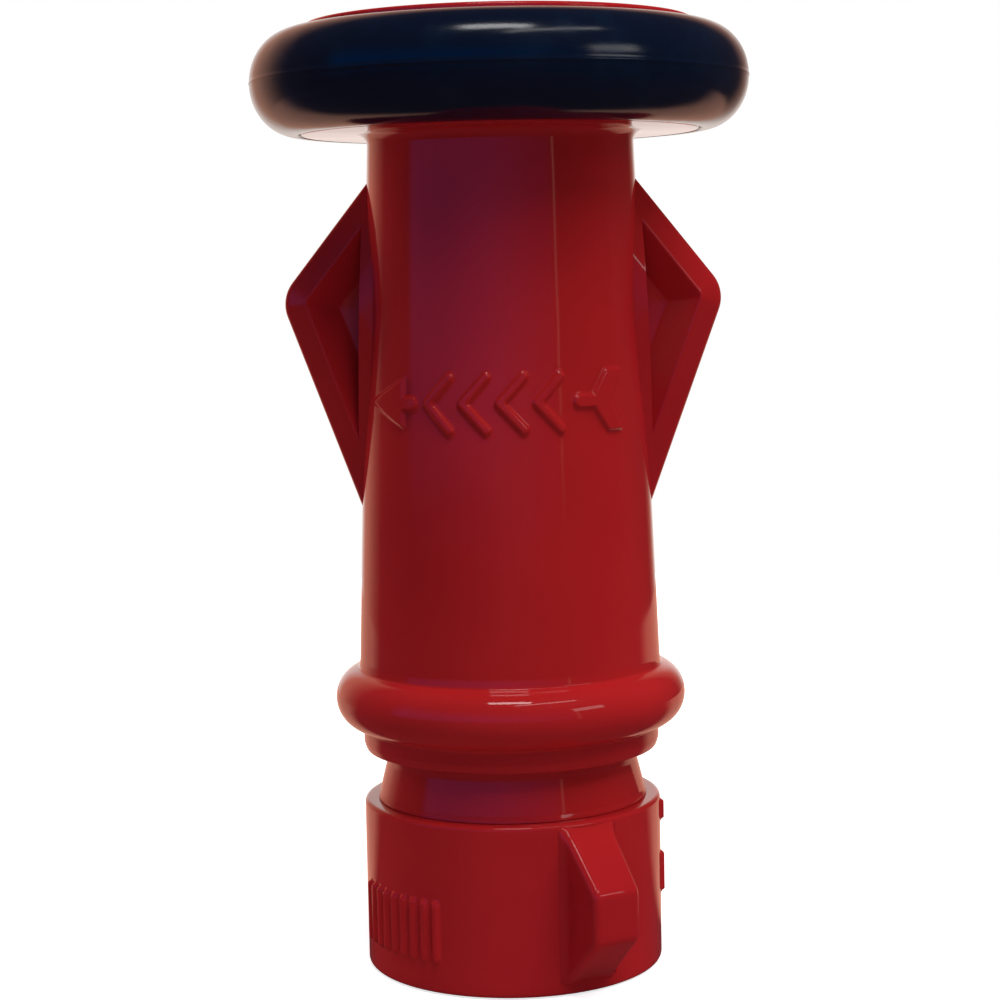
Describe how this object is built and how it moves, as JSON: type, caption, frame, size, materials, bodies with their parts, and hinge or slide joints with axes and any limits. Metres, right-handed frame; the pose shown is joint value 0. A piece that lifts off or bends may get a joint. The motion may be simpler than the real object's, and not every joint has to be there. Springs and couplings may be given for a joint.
{
  "type": "fire hose nozzle",
  "caption": "Adjustable fog nozzle for a fire hose: swivel coupling with rocker lugs, turning barrel with two wings, rubber bumper and baffle.",
  "frame": {"origin": "on the nozzle's axis in the inlet face, the bottom of the coupling", "axes": "+Z along the axis from inlet to outlet, the barrel's two wings along +X and -X"},
  "size_m": [0.102, 0.102, 0.1952],
  "materials": {
    "red_plastic": "glossy moulded deep red polycarbonate",
    "bumper_rubber": "smooth satin black rubber",
    "seal_rubber": "matt black nitrile",
    "brass": "turned brass",
    "steel": "stainless steel",
    "black_plastic": "moulded black acetal"
  },
  "bodies": {
    "coupling": {"swivel_coupling": "red_plastic", "inlet_gasket": "seal_rubber", "swivel_retaining_ring": "steel"},
    "body": {"nozzle_body": "red_plastic", "swivel_o_ring": "seal_rubber", "body_o_ring": "seal_rubber", "spider_retaining_ring": "steel", "spider": "brass", "baffle_stem": "brass", "stem_washer": "steel", "stem_nut": "steel", "baffle_seal": "seal_rubber", "baffle_head": "brass", "screw_washer": "steel", "baffle_screw": "steel"},
    "carriage": {"barrel_o_ring": "seal_rubber"},
    "barrel": {"barrel": "red_plastic", "throat_seat": "brass", "fog_tooth_ring": "black_plastic", "bumper": "bumper_rubber"}
  },
  "joints": [
    {"name": "swivel", "type": "hinge", "parent": "coupling", "child": "body", "pos_m": [0, 0, 0.03], "axis": [0, 0, 1], "continuous": true},
    {"name": "barrel_travel", "type": "slide", "parent": "body", "child": "carriage", "axis": [0, 0, 1], "range_m": [-0.008, 0]},
    {"name": "barrel_turn", "type": "hinge", "parent": "carriage", "child": "barrel", "pos_m": [0, 0, 0.1], "axis": [0, 0, 1], "range_deg": [-360, 0]}
  ],
  "couplings": [
    {"joint": "barrel_travel", "follows": "barrel_turn", "m_per_rad": 0.0012732}
  ]
}
